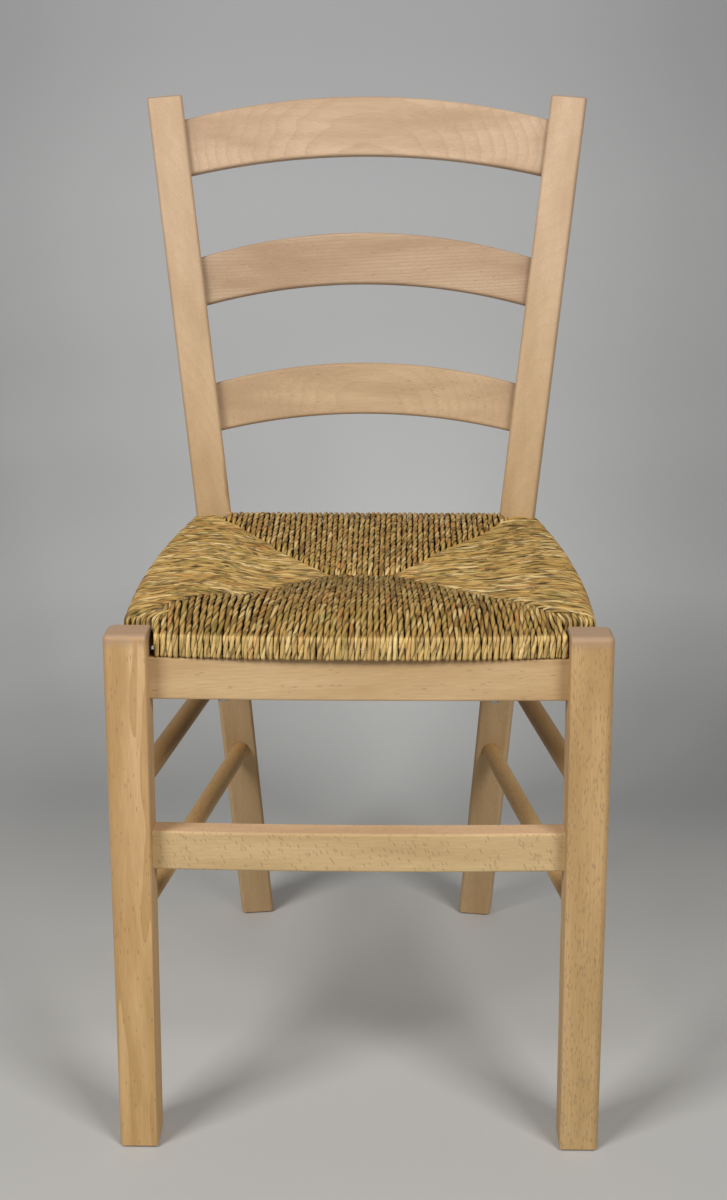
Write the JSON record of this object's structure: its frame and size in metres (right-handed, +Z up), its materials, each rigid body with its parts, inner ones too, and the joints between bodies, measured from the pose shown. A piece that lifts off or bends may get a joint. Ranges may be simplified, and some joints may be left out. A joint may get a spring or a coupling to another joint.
{
  "type": "ladderback chair",
  "caption": "Beech ladderback dining chair with arched, bowed slats in raked and splayed back posts, flat front rails, round side stretchers and a woven straw seat.",
  "frame": {"origin": "on the floor, under the middle of the box round the chair", "axes": "+Z up, -Y towards the sitter and the chair front, +X to the right when the chair is seen from the front"},
  "size_m": [0.4366, 0.4952, 0.8798],
  "materials": {
    "beech": "raw sanded beech, matt, with fine short flecks along the grain",
    "frame_beech": "rough sawn beech, hidden inside the weave",
    "straw": "twisted straw cord, dry and slightly glossy",
    "straw_filling": "loose dry straw",
    "screw_steel": "plain zinc-plated steel"
  },
  "bodies": {
    "root": {"front_leg_left": "beech", "front_leg_right": "beech", "back_post_left": "beech", "back_post_right": "beech", "back_slat_top": "beech", "back_slat_middle": "beech", "back_slat_lower": "beech", "front_apron": "beech", "rear_apron": "beech", "front_stretcher": "beech", "rear_stretcher": "beech", "side_stretcher_upper_left": "beech", "side_stretcher_upper_right": "beech", "side_stretcher_lower_left": "beech", "side_stretcher_lower_right": "beech", "seat_rail_front": "frame_beech", "seat_rail_rear": "frame_beech", "seat_rail_left": "frame_beech", "seat_rail_right": "frame_beech", "woven_seat": "straw", "seat_stuffing": "straw_filling", "seat_screws": "screw_steel"}
  },
  "joints": []
}
